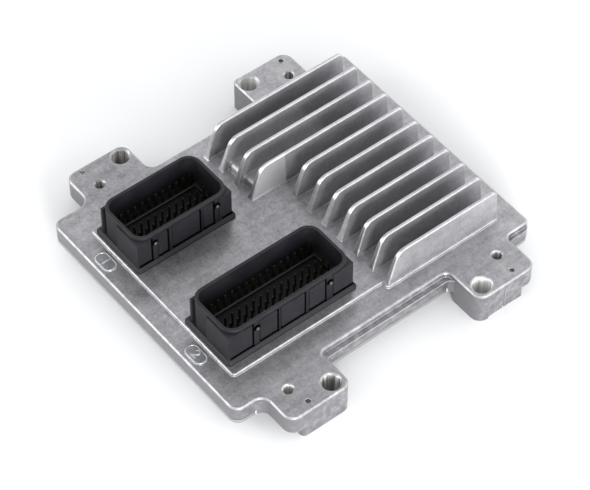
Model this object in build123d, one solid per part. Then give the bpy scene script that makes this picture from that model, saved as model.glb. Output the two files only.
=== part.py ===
from build123d import *

import os
from dataclasses import dataclass

# Engine control unit: a cast finned cover over a sealed circuit board, with two moulded pin headers.
# Millimetres, +Z up, +Y along the fins. The origin is under the middle of the unit, level with its feet.

os.makedirs("parts", exist_ok=True)

# Cover, in plan
body_width = 140.0
body_depth = 175.3
front_corner_radius = 5.0
back_corner_radius = 2.8
lip_corner_radius = 5.5
left_recess = 1.6
lip_width = 3.0
corner_lip_width = 2.0

# Lugs in plan, in the order front left, back left, front right, back right
lug_reaches = (19.8, 19.5, 19.6, 19.8)
lug_end_gaps = (21.1, 21.0, 15.65, 14.9)
lug_lengths = (34.6, 33.3, 35.05, 34.8)
bore_corner_radii = (5.0, 2.8, 5.0, 5.5)
far_corner_radius = 5.5
inner_throat_radii = (5.0, 5.0, 3.0, 3.0)
outer_throat_radii = (5.0, 3.0, 5.0, 3.0)

# Holes of the lugs in the same order, each from the outer face and from the inner end
bore_places = ((6.1, 6.1), (6.2, 5.9), (6.5, 7.0), (6.8, 7.0))
dowel_places = ((14.3, 24.1), (14.1, 24.5), (15.3, 24.4), (15.9, 24.1))
mark_places = ((3.2, 26.3), (4.3, 27.3), (4.7, 21.6), (4.8, 23.5))
front_bore_diameter = 8.7
back_bore_diameter = 9.2
bore_chamfer = 0.8
dowel_hole_diameter = 4.8
dowel_hole_depth = 8.0
dowel_hole_chamfer = 0.6
mark_hole_diameter = 2.6
mark_hole_depth = 1.6
mark_triangle_side = 4.0
mark_triangle_depth = 0.8

# Cover, in height
foot_height = 6.8
plate_edge = 2.0
seal_thickness = 0.6
skirt_height = 5.1
lip_drop = 2.8
platform_step = 1.6
fin_height = 18.2
roof_thickness = 2.8
roof_root = 1.0
top_edge_chamfer = 0.7
right_edge_radius = 2.0

plate_bottom = foot_height
plate_top = plate_bottom + plate_edge
skirt_bottom = plate_top + seal_thickness
lip_level = skirt_bottom + skirt_height
flange_top = lip_level + lip_drop
platform_top = flange_top + platform_step
roof_bottom = platform_top - roof_thickness

# Cavity under the cover
side_wall = 5.0
end_wall = 3.5
cavity_corner_radius = 4.0
platform_wall = 4.0

# Platform under the headers and fins
platform_half_width = 54.4
platform_front_gap = 10.85
platform_back_gap = 11.0
platform_left_margin = 0.5
platform_right_margin = 0.3
platform_edge_chamfer = 0.5
platform_corner_radius = 2.0

# Fins
fin_count = 11
fin_long_count = 4
fin_pitch = 11.3
fin_first_x = -56.75
fin_header_gap = 13.25
fin_back_gap = 11.4
fin_front_slope = 6.2
fin_back_slope = 0.5
fin_top_thickness = 1.8
fin_base_thickness = 3.25
fin_flare = 0.25
fin_flare_height = 0.9
fin_front_corner = 6.0
fin_back_corner = 3.2
fin_edge_chamfer = 0.45
fin_ledge = 0.9

# Raised floor between the second, third and fourth fins
ramp_first_fin = 1
ramp_last_fin = 3
ramp_height = 4.6
ramp_front_gap = 3.6
ramp_length = 49.0
ramp_radius = 3.5

# Number pads
pad_size = (12.0, 7.0)
pad_radius = 3.0
pad_height = 0.6
pad_front_gap = 5.8
pad_x = (-34.9, 33.8)

# Feet under the lugs, and the pocket in the outer face of the back ones
front_foot_width = 13.4
front_foot_end_gap = 7.0
front_foot_end_radius = 2.5
back_foot_width = 18.2
back_foot_end_gap = 7.9
pocket_depth = 0.6
pocket_start = 6.2
pocket_height = 15.0
pocket_end_height = 9.2
pocket_radius = 5.5
groove_place = 15.8
groove_width = 1.2
groove_depth = 1.3
groove_height = 13.6

# Screws of the base plate
base_screw_diameter = 4.0
base_screw_head = 6.0
base_screw_head_height = 2.4
base_screw_reach = 6.0
base_screw_inset = 5.2
base_screw_end_inset = 5.3
boss_diameter = 8.0
screw_tip_gap = 0.5
thread_clearance = 0.05
screw_hole_clearance = 0.25

# Base plate
plate_inset = 0.1
belly_drop = 5.0
belly_wall = 1.8
belly_gap = 8.6
belly_end_gap = 9.8
belly_corner_radius = 6.0
belly_chamfer = 0.9

# Circuit board
board_thickness = 1.6
board_gap = 1.0
board_side_gap = 5.0
board_end_gap = 6.8
board_corner_radius = 2.0
board_screw_diameter = 3.0
board_screw_head = 5.5
board_screw_head_height = 1.8
board_screw_reach = 2.4
pillar_diameter = 6.0
pillar_edge_gap = 5.0

board_bottom = plate_top + board_gap
board_top = board_bottom + board_thickness
board_width = body_width - 2 * (side_wall + board_side_gap)
board_depth = body_depth - 2 * (end_wall + board_end_gap)

# Pin headers. Panels and pegs of each are placed from the front of its tube
header_front_gap = 14.2
header_one_x = -35.1
header_one_length = 53.1
header_one_columns = 12
header_one_post_offset = -0.8
header_one_panels = ((0.0, 6.8), (11.1, 16.1), (19.2, 34.5), (37.1, 42.3), (47.1, 53.1))
header_one_pegs = (9.1, 44.7)
header_two_x = 32.8
header_two_length = 70.2
header_two_columns = 16
header_two_post_offset = -1.1
header_two_panels = ((0.0, 12.4), (16.9, 26.5), (28.9, 42.1), (45.0, 53.9), (59.0, 70.2))
header_two_pegs = (15.3, 57.1)
tube_width = 30.2
tube_radius = 7.0
tube_wall = 1.7
tube_height = 17.1
tube_rim_chamfer = 0.4
flange_margin = 2.0
flange_thickness = 2.3
flange_chamfer = 1.3
flange_corner_radius = 2.0
neck_inset = 1.9
neck_wall = 1.4
neck_radius = 2.5
neck_inner_radius = 1.0
neck_clearance = 0.4
post_proud = 0.5
front_post_proud = 0.9
post_drop = 1.3
guide_inset = 1.0
guide_wall = 1.2
guide_length = 6.0
guide_drop = 1.8
panel_drop = 1.8
peg_diameter = 1.6
peg_drop = 5.7
peg_length = 1.1
ridge_place = 6.5
ridge_width = 0.9
ridge_height = 1.8
ledge_depth = 2.3
ledge_height = 2.6
seal_width = 1.6
seal_depth = 1.0

header_floor = platform_top + flange_thickness
rim_level = header_floor + tube_height

# Pins of the headers
pin_pitch = 4.0
signal_rows = 3
signal_row_gap = 8.6
signal_pin = 0.8
power_pin = 1.5
power_row_place = 4.6
pin_tip_length = 1.1
pin_tip_taper = 12.0
pin_top_drop = 8.3
power_pin_top_drop = 9.3
pin_tail = 1.0
pin_clearance = 0.05

# Power transistors, their thermal pads and the plinth above them
thermal_pad_thickness = 1.0
transistor_size = (6.6, 6.1, 2.3)
transistor_pitch = 12.0
transistor_count = 5
transistor_rows = 2
transistor_row_pitch = 14.0
transistor_centre_x = 22.0
transistor_back_gap = 29.3
thermal_pad_border = 0.5
plinth_border = 2.5

# Parts on the board: size in x, y and z
processor_size = (27.0, 27.0, 2.0)
processor_x = -2.0
processor_gap = 4.5
memory_size = (12.0, 18.0, 1.2)
memory_x = -25.0
driver_size = (12.0, 12.0, 1.6)
driver_places = ((-42.0, 4.0), (-42.0, 60.0), (-22.0, 60.0), (44.0, 16.0))
transceiver_size = (4.9, 3.9, 1.5)
transceiver_places = ((-2.0, -12.0), (-2.0, -22.0), (-2.0, -32.0))
crystal_size = (11.4, 4.7, 3.5)
crystal_x = 20.0
shunt_size = (6.4, 3.2, 0.7)
shunt_places = ((-2.0, -46.0), (-2.0, -54.0))
suppressor_size = (7.0, 6.0, 2.4)
suppressor_places = ((-2.0, -64.0), (-42.0, 24.0))
capacitor_diameter = 8.0
capacitor_height = 5.6
capacitor_base_size = 8.3
capacitor_base_height = 0.8
capacitor_base_chamfer = 1.5
capacitor_places = ((-40.0, 12.0), (-40.0, 24.0), (-40.0, 36.0), (-28.0, 36.0))
inductor_size = (12.0, 12.0, 5.4)
inductor_place = (-22.0, 18.0)
regulator_size = (10.2, 9.2, 4.4)
regulator_place = (0.0, 40.0)
package_chamfer = 0.3


@dataclass(frozen=True)
class Lug:
    """One mounting lug: its number in the lists above, its side, and the end of the body that it is at."""

    index: int
    side: int
    way: int

    @property
    def face_x(self):
        return self.side * (body_width / 2 + lug_reaches[self.index])

    @property
    def far_end(self):
        return self.way * (body_depth / 2 - lug_end_gaps[self.index])

    @property
    def end(self):
        return self.far_end - self.way * lug_lengths[self.index]

    def at(self, place):
        """A place on the lug that is given from its outer face and from its inner end."""
        from_face, along = place
        return self.face_x - self.side * from_face, self.end + self.way * along

    def area(self, width, far_gap=0.0):
        """The lug's flat area, a width from its outer face and short of its far end by a gap."""
        xs = sorted((self.face_x, self.face_x - self.side * width))
        return area(*xs, *sorted((self.end, self.far_end - self.way * far_gap)))


front_left = Lug(0, -1, -1)
back_left = Lug(1, -1, 1)
front_right = Lug(2, 1, -1)
back_right = Lug(3, 1, 1)
lugs = (front_left, back_left, front_right, back_right)


@dataclass(frozen=True)
class Header:
    """One moulded pin header. Places along it count from the front of its tube."""

    name: str
    centre_x: float
    length: float
    columns: int
    post_offset: float
    panels: tuple
    pegs: tuple

    @property
    def front(self):
        return header_front_gap - body_depth / 2

    @property
    def back(self):
        return self.front + self.length

    @property
    def far_x(self):
        return self.centre_x - tube_width / 2

    @property
    def near_x(self):
        return self.centre_x + tube_width / 2

    @property
    def centre(self):
        return self.centre_x, (self.front + self.back) / 2


header_one = Header(
    "header_one", header_one_x, header_one_length, header_one_columns,
    header_one_post_offset, header_one_panels, header_one_pegs,
)
header_two = Header(
    "header_two", header_two_x, header_two_length, header_two_columns,
    header_two_post_offset, header_two_panels, header_two_pegs,
)
headers = (header_one, header_two)

fin_back = body_depth / 2 - fin_back_gap
fin_long_front = header_one.back + fin_header_gap
fin_short_front = header_two.back + fin_header_gap


def area(x0, x1, y0, y1):
    """A flat rectangle between two corners."""
    return Pos((x0 + x1) / 2, (y0 + y1) / 2) * Rectangle(x1 - x0, y1 - y0)


def slab(x0, x1, y0, y1, z0, z1):
    """A block between two corners."""
    return Pos(0, 0, z0) * extrude(area(x0, x1, y0, y1), amount=z1 - z0)


def rounded_slab(width, depth, radius, z0, z1, middle=(0, 0)):
    """An upright block with four round corners."""
    return Pos(*middle, z0) * extrude(RectangleRounded(width, depth, radius), amount=z1 - z0)


def layer(plan, z0, z1):
    """A flat outline made solid between two heights."""
    return Pos(0, 0, z0) * extrude(plan, amount=z1 - z0)


def rod(diameter, x, y, z0, z1):
    """An upright cylinder."""
    return Pos(x, y, z0) * extrude(Circle(diameter / 2), amount=z1 - z0)


def hole(diameter, x, y, z0, z1, mouth):
    """A drill for an upright hole that opens upwards with a chamfered mouth."""
    cone = Cone(diameter / 2, diameter / 2 + mouth, mouth)
    return rod(diameter, x, y, z0, z1) + Pos(x, y, z1 - mouth / 2) * cone


def round_corner(sketch, x, y, radius):
    """Rounds the corner of a flat outline that lies nearest to a place."""
    corner = sketch.vertices().sort_by_distance((x, y, 0))[0]
    return fillet(corner, radius)


def cover_outline(lipped):
    """The cover's plan. With lipped, its right side stands back behind the lip."""
    half_width, half_depth = body_width / 2, body_depth / 2
    left = left_recess - half_width
    right = half_width - (lip_width if lipped else 0)
    corner_right = half_width - (corner_lip_width if lipped else 0)
    outline = area(-half_width, half_width, -half_depth, half_depth)
    outline -= area(-body_width, left, front_left.end, back_left.end)
    if lipped:
        outline -= area(right, body_width, front_right.end, back_right.end)
        outline -= area(corner_right, body_width, back_right.far_end, body_depth)
    for lug in lugs:
        outline += lug.area(2 * lug_reaches[lug.index])

    throats = ((left, -half_width), (left, -half_width), (right, half_width), (right, corner_right))
    for lug, (inner_x, outer_x) in zip(lugs, throats):
        outline = round_corner(outline, lug.face_x, lug.end, bore_corner_radii[lug.index])
        outline = round_corner(outline, lug.face_x, lug.far_end, far_corner_radius)
        outline = round_corner(outline, inner_x, lug.end, inner_throat_radii[lug.index])
        outline = round_corner(outline, outer_x, lug.far_end, outer_throat_radii[lug.index])
    for x, y, radius in (
        (-half_width, -half_depth, front_corner_radius),
        (half_width, -half_depth, front_corner_radius),
        (-half_width, half_depth, back_corner_radius),
        (corner_right, half_depth, back_corner_radius if lipped else lip_corner_radius),
    ):
        outline = round_corner(outline, x, y, radius)
    return outline


def body_outline(inset):
    """The plan of what closes the cover from below, between the lugs."""
    half_width, half_depth = body_width / 2 - inset, body_depth / 2 - inset
    outline = area(-half_width, half_width, -half_depth, half_depth)
    for x, y, radius in (
        (-half_width, -half_depth, front_corner_radius),
        (half_width, -half_depth, front_corner_radius),
        (-half_width, half_depth, back_corner_radius),
        (half_width, half_depth, lip_corner_radius),
    ):
        outline = round_corner(outline, x, y, radius - inset)
    recess_front, recess_back = front_left.end - inset, back_left.end + inset
    return outline - area(-body_width, left_recess - half_width, recess_front, recess_back)


def screw_places():
    """Where the base screws stand: the four corners and the middle of both sides."""
    x = body_width / 2 - base_screw_inset
    y = body_depth / 2 - base_screw_end_inset
    return [(x, y), (-x, y), (x, -y), (-x, -y), (x, 0), (-x, 0)]


def pillar_places():
    """Where the board is screwed to the cover's pillars."""
    x = board_width / 2 - pillar_edge_gap
    y = board_depth / 2 - pillar_edge_gap
    return [(x, y), (-x, y), (x, -y), (-x, -y)]


def cavity_plan():
    """The plan of the space under the cover, with the screw bosses left standing."""
    plan = RectangleRounded(body_width - 2 * side_wall, body_depth - 2 * end_wall, cavity_corner_radius)
    boss_radius = boss_diameter / 2
    for x, y in screw_places():
        plan -= Pos(x, y) * Circle(boss_radius)
        plan -= area(*sorted((x, x * 2)), y - boss_radius, y + boss_radius)
        if y:
            plan -= area(x - boss_radius, x + boss_radius, *sorted((y, y * 2)))
    return plan


def platform_outline():
    """The plan of the raised platform, wider beside the fins."""
    front = platform_front_gap - body_depth / 2
    back = body_depth / 2 - platform_back_gap
    fin_reach = fin_base_thickness / 2 + fin_flare
    left = fin_first_x - fin_reach - platform_left_margin
    right = fin_first_x + (fin_count - 1) * fin_pitch + fin_reach + platform_right_margin
    step_left = fin_long_front - fin_ledge
    step_right = fin_short_front - fin_ledge
    outline = area(-platform_half_width, platform_half_width, front, back)
    outline += area(left, 0, step_left, back)
    outline += area(0, right, step_right, back)
    for x, y in ((left, step_left), (right, step_right), (left, back), (right, back)):
        outline = round_corner(outline, x, y, platform_corner_radius)
    for x in (-platform_half_width, platform_half_width):
        outline = round_corner(outline, x, front, platform_corner_radius)
    return outline


def fin(front):
    """One cooling fin: a tapered section along Y, cut to its side view, with its edges broken."""
    half_top, half_base = fin_top_thickness / 2, fin_base_thickness / 2
    foot_reach = half_base + fin_flare
    section = Plane.XZ * make_face(
        Polyline(
            (-foot_reach, 0), (foot_reach, 0), (half_base, fin_flare_height), (half_top, fin_height),
            (-half_top, fin_height), (-half_base, fin_flare_height), close=True,
        )
    )
    top_front, top_back = front + fin_front_slope, fin_back - fin_back_slope
    side = Plane.YZ * make_face(
        Polyline((front, 0), (fin_back, 0), (top_back, fin_height), (top_front, fin_height), close=True)
    )
    for y, radius in ((top_front, fin_front_corner), (top_back, fin_back_corner)):
        corner = side.vertices().sort_by_distance((0, y, fin_height))[0]
        side = fillet(corner, radius)
    bar = Pos(0, fin_back, 0) * extrude(section, amount=fin_back - front)
    shape = bar & extrude(side, amount=foot_reach, both=True)
    rim = shape.edges().filter_by(lambda edge: edge.center().Z > fin_flare_height)
    rim = rim.filter_by(lambda edge: abs(edge.center().X) > half_top / 2)
    rim = rim.filter_by(lambda edge: edge.length > fin_edge_chamfer)
    return Pos(0, 0, platform_top) * chamfer(rim, fin_edge_chamfer)


def raised_floor():
    """The floor that stands higher between the second, third and fourth fins, round at its front."""
    x0 = fin_first_x + ramp_first_fin * fin_pitch
    x1 = fin_first_x + ramp_last_fin * fin_pitch
    y0 = fin_long_front + ramp_front_gap
    profile = Plane.YZ * area(y0, y0 + ramp_length, -platform_step, ramp_height)
    corner = profile.vertices().sort_by_distance((0, y0, ramp_height))[0]
    profile = fillet(corner, ramp_radius)
    return Pos(x0, 0, platform_top) * extrude(profile, amount=x1 - x0)


def front_foot(lug):
    """The foot under a front lug, down to what the unit stands on."""
    plan = lug.area(front_foot_width, front_foot_end_gap)
    plan = round_corner(plan, lug.face_x, lug.end, bore_corner_radii[lug.index])
    plan = round_corner(plan, lug.face_x, lug.far_end, front_foot_end_radius)
    return layer(plan, 0, skirt_bottom)


def back_foot(lug):
    """The foot under a back lug, as broad as the lug itself."""
    plan = lug.area(back_foot_width, back_foot_end_gap)
    plan = round_corner(plan, lug.face_x, lug.end, bore_corner_radii[lug.index])
    return layer(plan, 0, skirt_bottom)


def face_pocket(lug):
    """The arched pocket and the groove in the outer face of a back lug and its foot."""
    start, end = lug.end + pocket_start, lug.far_end - back_foot_end_gap
    profile = Plane.YZ * make_face(
        Polyline((start, 0), (start, pocket_height), (end, pocket_end_height), (end, 0), close=True)
    )
    corner = profile.vertices().sort_by_distance((0, start, pocket_height))[0]
    profile = fillet(corner, pocket_radius)
    groove_y = lug.end + groove_place
    groove = Plane.YZ * area(groove_y - groove_width / 2, groove_y + groove_width / 2, 0, groove_height)
    cut = extrude(profile, amount=pocket_depth, both=True) + extrude(groove, amount=groove_depth, both=True)
    return Pos(lug.face_x, 0, 0) * cut


def right_edge_round():
    """What is cut off the upper edge between the right lugs, which is rounder than the others."""
    x = body_width / 2 - lip_width
    front, back = front_right.end, back_right.end
    front_radius = inner_throat_radii[front_right.index]
    back_radius = inner_throat_radii[back_right.index]
    path = CenterArc((x + front_radius, front + front_radius), front_radius, -90, -90)
    path += Line((x, front + front_radius), (x, back - back_radius))
    path += CenterArc((x + back_radius, back - back_radius), back_radius, 180, -90)
    radius = right_edge_radius
    profile = area(-radius, radius, -radius, radius) - Pos(-radius, -radius) * Circle(radius)
    start = Plane(origin=(x + front_radius, front, flange_top), x_dir=(0, 1, 0), z_dir=(1, 0, 0))
    return sweep(start * profile, path=Pos(0, 0, flange_top) * path)


def lug_holes(lug):
    """The bore, the blind dowel hole and the small mark of one lug."""
    diameter = back_bore_diameter if lug.way > 0 else front_bore_diameter
    drills = hole(diameter, *lug.at(bore_places[lug.index]), -foot_height, flange_top, bore_chamfer)
    x, y = lug.at(dowel_places[lug.index])
    drills += hole(dowel_hole_diameter, x, y, flange_top - dowel_hole_depth, flange_top, dowel_hole_chamfer)
    x, y = lug.at(mark_places[lug.index])
    if lug is front_left:
        mark = Pos(x, y, flange_top - mark_triangle_depth) * Rot(0, 0, 90)
        triangle = RegularPolygon(mark_triangle_side / 2, 3)
        return drills + mark * extrude(triangle, amount=2 * mark_triangle_depth)
    return drills + rod(mark_hole_diameter, x, y, flange_top - mark_hole_depth, flange_top + mark_hole_depth)


def neck_size(header, grow=0.0):
    """Width and depth of a header's neck, which passes through the cover."""
    return tube_width - 2 * (neck_inset - grow), header.length - 2 * (neck_inset - grow)


def header_opening(header):
    """The opening in the cover's roof for one header's neck."""
    radius = neck_radius + neck_clearance
    top = platform_top + platform_step
    return rounded_slab(*neck_size(header, neck_clearance), radius, board_top, top, header.centre)


def header_seal(header):
    """The cured sealant ring under a header's flange, and the groove that it fills."""
    seat = neck_inset - neck_clearance + flange_margin
    grow = neck_clearance + (seat - seal_width) / 2
    radius = neck_radius + grow
    bottom = platform_top - seal_depth
    inner = rounded_slab(*neck_size(header, grow), radius, bottom, platform_top, header.centre)
    size = neck_size(header, grow + seal_width)
    return rounded_slab(*size, radius + seal_width, bottom, platform_top, header.centre) - inner


def transistor_centre():
    """The middle of the transistors' rows."""
    return transistor_centre_x, board_depth / 2 - transistor_back_gap


def transistor_places():
    """The rows of power transistors under the fins."""
    x, y = transistor_centre()
    x0 = x - (transistor_count - 1) * transistor_pitch / 2
    y0 = y - (transistor_rows - 1) * transistor_row_pitch / 2
    return [
        (x0 + column * transistor_pitch, y0 + row * transistor_row_pitch)
        for row in range(transistor_rows) for column in range(transistor_count)
    ]


def processor_line():
    """Where the processor, memory and crystal stand along the board, in front of the transistors."""
    rows_front = min(place[1] for place in transistor_places()) - transistor_size[1] / 2
    return rows_front - processor_gap - processor_size[1] / 2


def thermal_plinth():
    """The block under the roof that takes the heat of the transistors."""
    width = (transistor_count - 1) * transistor_pitch + transistor_size[0] + 2 * plinth_border
    depth = (transistor_rows - 1) * transistor_row_pitch + transistor_size[1] + 2 * plinth_border
    bottom = board_top + transistor_size[2] + thermal_pad_thickness
    plan = Pos(*transistor_centre()) * Rectangle(width, depth)
    return layer(plan, bottom, roof_bottom + roof_root)


def cover():
    """The cast cover with its lugs, feet, platform and fins in one piece."""
    half_width, half_depth = body_width / 2, body_depth / 2
    outline = cover_outline(False)
    upper = layer(cover_outline(True), lip_level, flange_top)
    upper = chamfer(upper.faces().sort_by(Axis.Z)[-1].outer_wire().edges(), top_edge_chamfer)
    shape = layer(outline, skirt_bottom, lip_level) + (upper - right_edge_round())
    skirts = outline - area(-half_width, half_width, -half_depth, half_depth)
    shape += layer(skirts, foot_height, skirt_bottom)
    for lug in (front_left, front_right):
        shape += front_foot(lug)
    for lug in (back_left, back_right):
        shape += back_foot(lug)
        shape -= face_pocket(lug)
    platform = layer(platform_outline(), flange_top - platform_step, platform_top)
    shape += chamfer(platform.faces().sort_by(Axis.Z)[-1].edges(), platform_edge_chamfer)

    cavity = cavity_plan()
    shape -= layer(cavity, skirt_bottom, flange_top - roof_thickness)
    inner = offset(platform_outline(), -platform_wall, kind=Kind.INTERSECTION)
    shape -= layer(inner & cavity, skirt_bottom, roof_bottom)
    shape += thermal_plinth()
    for x, y in pillar_places():
        shape += rod(pillar_diameter, x, y, board_top, roof_bottom + roof_root)

    for header in headers:
        shape -= header_opening(header)
        shape -= header_seal(header)
    for x, y in screw_places():
        bore = base_screw_diameter + 2 * thread_clearance
        shape -= rod(bore, x, y, skirt_bottom, plate_bottom + base_screw_reach + screw_tip_gap)
    for x, y in pillar_places():
        bore = board_screw_diameter + 2 * thread_clearance
        shape -= rod(bore, x, y, board_top, board_top + board_screw_reach + screw_tip_gap)

    long_fin, short_fin = fin(fin_long_front), fin(fin_short_front)
    for index in range(fin_count):
        x = fin_first_x + index * fin_pitch
        shape += Pos(x, 0, 0) * (long_fin if index < fin_long_count else short_fin)
    shape += raised_floor()
    for lug in lugs:
        shape -= lug_holes(lug)
    for x in pad_x:
        middle = (x, pad_front_gap - half_depth)
        shape += rounded_slab(*pad_size, pad_radius, flange_top, flange_top + pad_height, middle)
    return shape


def header_shell(header):
    """One header's moulding: flange, tube, posts, guide, panels, floor and neck in one piece."""
    middle = header.centre
    flange_size = (tube_width + 2 * flange_margin, header.length + 2 * flange_margin)
    shape = rounded_slab(*flange_size, flange_corner_radius, platform_top, header_floor, middle)
    shape = chamfer(shape.faces().sort_by(Axis.Z)[-1].outer_wire().edges(), flange_chamfer)
    shape += rounded_slab(tube_width, header.length, tube_radius, platform_top, rim_level, middle)
    near = header.near_x + post_proud
    front, back = header.front, header.back
    post_x, post_top = header.centre_x + header.post_offset, rim_level - post_drop
    shape += slab(post_x, near, front - front_post_proud, front + tube_radius, platform_top, post_top)
    shape += slab(near - tube_radius, near, back - tube_radius, back, platform_top, post_top)
    guide_x = header.far_x + guide_inset
    guide_top = rim_level - guide_drop
    shape += slab(guide_x, guide_x + guide_wall, front, front + guide_length, platform_top, guide_top)
    for start, end in header.panels:
        panel_top = rim_level - panel_drop
        shape += slab(header.near_x - tube_wall, near, front + start, front + end, platform_top, panel_top)
    shape = chamfer(shape.faces().sort_by(Axis.Z)[-1].outer_wire().edges(), tube_rim_chamfer)
    for along in header.pegs:
        peg = Rot(0, 90, 0) * extrude(Circle(peg_diameter / 2), amount=tube_wall + peg_length)
        shape += Pos(header.near_x - tube_wall, front + along, rim_level - peg_drop) * peg

    inside = (tube_width - 2 * tube_wall, header.length - 2 * tube_wall)
    shape -= rounded_slab(*inside, tube_radius - tube_wall, header_floor, rim_level, middle)
    inner_front, inner_back = front + tube_wall, back - tube_wall
    ridge_x, inner_near = header.far_x + ridge_place, header.near_x - tube_wall
    ridge_top, ledge_top = header_floor + ridge_height, header_floor + ledge_height
    shape += slab(ridge_x, ridge_x + ridge_width, inner_front, inner_back, header_floor, ridge_top)
    shape += slab(ridge_x, inner_near, inner_back - ledge_depth, inner_back, header_floor, ledge_top)

    width, depth = neck_size(header)
    neck = rounded_slab(width, depth, neck_radius, board_top, platform_top, middle)
    bore = (width - 2 * neck_wall, depth - 2 * neck_wall)
    neck -= rounded_slab(*bore, neck_inner_radius, board_top, platform_top, middle)
    return shape + neck - pin_holes(header, platform_top, header_floor)


def signal_places(header):
    """Where the thin pins of a header stand."""
    first_y = header.centre[1] - (header.columns - 1) * pin_pitch / 2
    first_x = header.far_x + ridge_place + signal_row_gap
    return [
        (first_x + row * pin_pitch, first_y + column * pin_pitch)
        for row in range(signal_rows) for column in range(header.columns)
    ]


def power_places(header):
    """Where the broad pins of a header stand."""
    first_y = header.centre[1] - (header.columns - 1) * pin_pitch / 2
    x = header.far_x + power_row_place
    return [(x, first_y + column * pin_pitch) for column in range(header.columns)]


def pin_holes(header, z0, z1):
    """The holes for all pins of a header, between two heights."""
    thin, broad = signal_pin + 2 * pin_clearance, power_pin + 2 * pin_clearance
    plan = Sketch() + [Pos(*place) * Rectangle(thin, thin) for place in signal_places(header)]
    plan += [Pos(*place) * Rectangle(thin, broad) for place in power_places(header)]
    return layer(plan, z0, z1)


def pin(width, depth, top):
    """One pin from below the board to its tapered tip."""
    bottom, shank_top = board_bottom - pin_tail, top - pin_tip_length
    shank = layer(Rectangle(width, depth), bottom, shank_top)
    tip = extrude(Rectangle(width, depth), amount=pin_tip_length, taper=pin_tip_taper)
    return shank + Pos(0, 0, shank_top) * tip


def place_all(shape, places):
    """A group of equal solids, one at each place."""
    return Compound(children=[Pos(*place) * shape for place in places])


def package(size, level, down=False):
    """A moulded chip package with a chamfered top, standing on the board or hanging below it."""
    block = extrude(Rectangle(size[0], size[1]), amount=size[2])
    block = chamfer(block.faces().sort_by(Axis.Z)[-1].edges(), package_chamfer)
    if down:
        block = Rot(180, 0, 0) * block
    return Pos(0, 0, level) * block


def capacitor():
    """A can capacitor on its square base, hanging below the board."""
    base = Rectangle(capacitor_base_size, capacitor_base_size)
    base = chamfer(base.vertices().sort_by(Axis.X)[-2:], capacitor_base_chamfer)
    base_bottom = board_bottom - capacitor_base_height
    body = layer(base, base_bottom, board_bottom)
    return body + rod(capacitor_diameter, 0, 0, board_bottom - capacitor_height, base_bottom)


def screw(diameter, head, head_height, reach, seat):
    """A hexagon-head screw from below: its head under the seat and its shank above."""
    hexagon = RegularPolygon(head / 2, 6, major_radius=False, rotation=30)
    shape = layer(hexagon, seat - head_height, seat)
    return shape + rod(diameter, 0, 0, seat, seat + reach)


def base_plate():
    """The pressed plate that closes the unit, with its sunk belly and screw holes."""
    width, depth = body_width - 2 * belly_gap, body_depth - 2 * belly_end_gap
    bottom = plate_bottom - belly_drop
    belly = rounded_slab(width, depth, belly_corner_radius, bottom, plate_top)
    belly = chamfer(belly.faces().sort_by(Axis.Z)[0].edges(), belly_chamfer)
    shape = layer(body_outline(plate_inset), plate_bottom, plate_top) + belly
    inner_size = (width - 2 * belly_wall, depth - 2 * belly_wall)
    inner_radius = belly_corner_radius - belly_wall
    shape -= rounded_slab(*inner_size, inner_radius, bottom + belly_wall, plate_top)
    for x, y in screw_places():
        bore = base_screw_diameter + 2 * screw_hole_clearance
        shape -= rod(bore, x, y, plate_bottom, plate_top)
    return shape


def cover_seal():
    """The flat seal between plate and cover, with a hole for each screw."""
    plan = body_outline(plate_inset) - cavity_plan()
    for x, y in screw_places():
        plan -= Pos(x, y) * Circle(base_screw_diameter / 2 + screw_hole_clearance)
    return layer(plan, plate_top, skirt_bottom)


def circuit_board():
    """The board with holes for its screws and for every header pin."""
    shape = rounded_slab(board_width, board_depth, board_corner_radius, board_bottom, board_top)
    for x, y in pillar_places():
        bore = board_screw_diameter + 2 * screw_hole_clearance
        shape -= rod(bore, x, y, board_bottom, board_top)
    for header in headers:
        shape -= pin_holes(header, board_bottom, board_top)
    return shape


def thermal_pads():
    """One soft strip over each row of transistors, up to the plinth."""
    width = (transistor_count - 1) * transistor_pitch + transistor_size[0] + 2 * thermal_pad_border
    depth = transistor_size[1] + 2 * thermal_pad_border
    strip = extrude(Rectangle(width, depth), amount=thermal_pad_thickness)
    level = board_top + transistor_size[2]
    rows = sorted({place[1] for place in transistor_places()})
    return place_all(strip, [(transistor_centre_x, y, level) for y in rows])


def write(name, shape):
    """Writes one node."""
    export_step(shape, f"parts/{name}.step")


write("cover", cover())
write("base_plate", base_plate())
write("cover_seal", cover_seal())
write("circuit_board", circuit_board())
for each in headers:
    write(f"{each.name}_shell", header_shell(each))
    write(f"{each.name}_seal", header_seal(each))
    signal = pin(signal_pin, signal_pin, rim_level - pin_top_drop)
    power = pin(signal_pin, power_pin, rim_level - power_pin_top_drop)
    write(f"{each.name}_pins", place_all(signal, signal_places(each)))
    write(f"{each.name}_power_pins", place_all(power, power_places(each)))

base_screw = screw(
    base_screw_diameter, base_screw_head, base_screw_head_height, base_screw_reach, plate_bottom,
)
write("base_screws", place_all(base_screw, screw_places()))
board_screw = screw(
    board_screw_diameter, board_screw_head, board_screw_head_height,
    board_thickness + board_screw_reach, board_bottom,
)
write("board_screws", place_all(board_screw, pillar_places()))

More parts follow.
